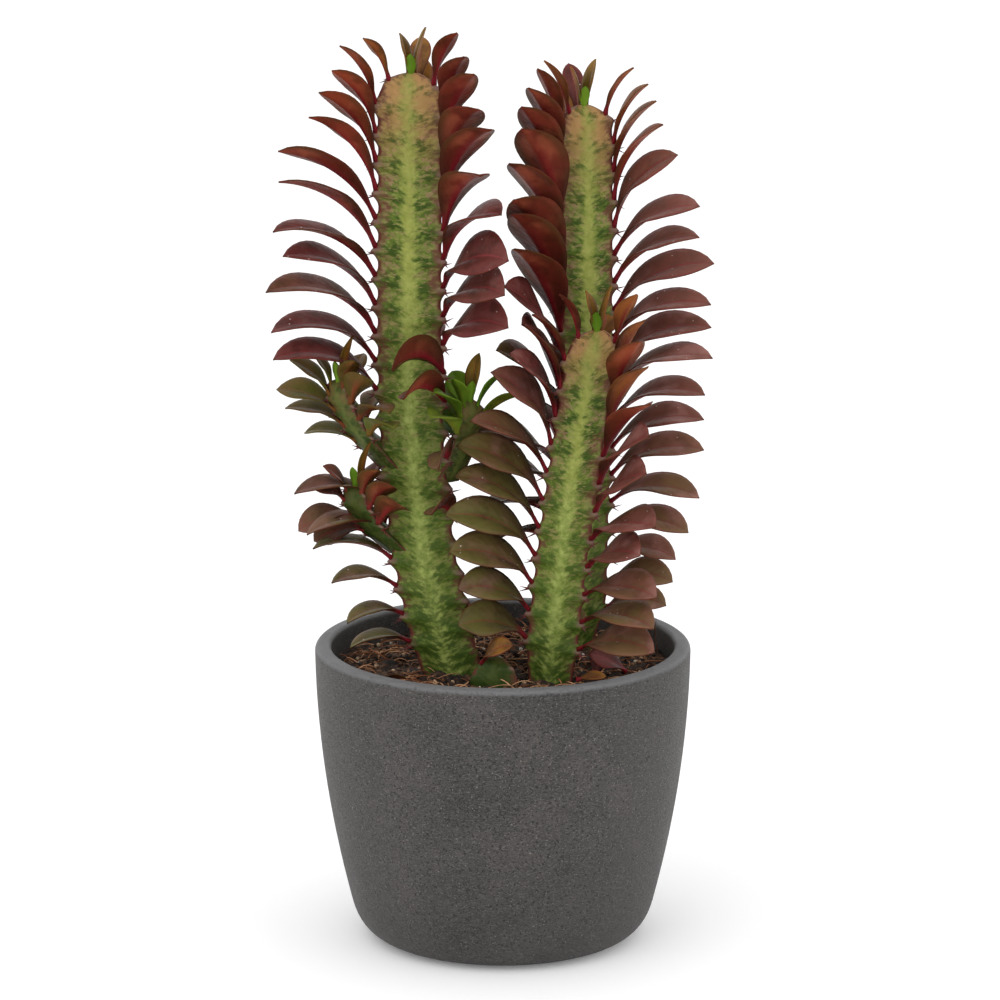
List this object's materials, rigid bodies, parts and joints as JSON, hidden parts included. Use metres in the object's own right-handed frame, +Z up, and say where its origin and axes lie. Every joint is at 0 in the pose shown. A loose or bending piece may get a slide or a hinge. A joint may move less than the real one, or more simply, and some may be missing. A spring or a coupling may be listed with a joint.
{
  "type": "potted euphorbia",
  "caption": "Three-ribbed red-leaved euphorbia with leafy upright stems and side shoots in a round dark grey pot of coco soil.",
  "frame": {"origin": "centre of the pot's flat foot, on the surface that the pot stands on", "axes": "+Z up along the stems, -Y towards the viewer, +X to the viewer's right"},
  "size_m": [0.2108, 0.18, 0.4404],
  "materials": {
    "pot": "matt dark grey fibre cement with fine pits and flecks",
    "soil": "loose brown coco and peat with fibres and pale specks",
    "plant": "satin mottled green ribbed skin with wine red leaves and dark red spines"
  },
  "bodies": {
    "root": {"pot": "pot", "soil": "soil", "stem_tall": "plant", "stem_back": "plant", "stem_front": "plant", "stem_stub": "plant"}
  },
  "joints": []
}
